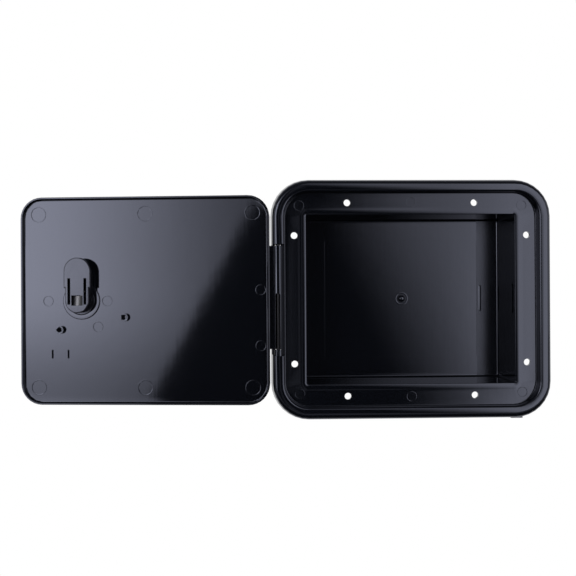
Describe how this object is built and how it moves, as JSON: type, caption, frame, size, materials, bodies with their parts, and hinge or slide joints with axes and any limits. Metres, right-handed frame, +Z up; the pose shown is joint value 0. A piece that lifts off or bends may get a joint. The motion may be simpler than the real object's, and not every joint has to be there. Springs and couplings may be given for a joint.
{
  "type": "caravan fuel hatch",
  "caption": "Black moulded wall hatch with a blind pocket behind a raised rim, and a side-hinged tray lid with a quarter-turn key latch.",
  "frame": {"origin": "middle of the hatch on the wall plane, where the flange's back meets the caravan's skin", "axes": "+X to the right seen from outside, +Y into the wall, +Z up"},
  "size_m": [0.3632, 0.0527, 0.164],
  "materials": {
    "gloss_black_plastic": "gloss as moulded",
    "black_nylon": "satin as moulded",
    "pin_steel": "blackened rod",
    "lock_metal": "dark plated zinc",
    "gasket_rubber": "matt"
  },
  "bodies": {
    "frame": {"frame_pocket": "gloss_black_plastic", "hinge_pin": "pin_steel"},
    "lid": {"lid": "gloss_black_plastic", "lock_housing": "black_nylon", "lock_gasket": "gasket_rubber", "retaining_ring": "black_nylon"},
    "latch": {"lock_core": "lock_metal", "latch_cam": "black_nylon"}
  },
  "joints": [
    {"name": "lid_hinge", "type": "hinge", "parent": "frame", "child": "lid", "pos_m": [-0.0912, -0.0064, 0], "axis": [0, 0, 1], "range_deg": [0, 186.4]},
    {"name": "key_turn", "type": "hinge", "parent": "lid", "child": "latch", "pos_m": [-0.22556, 0.00867, 0], "axis": [-0.1115, -0.9938, 0], "range_deg": [0, 90]}
  ]
}
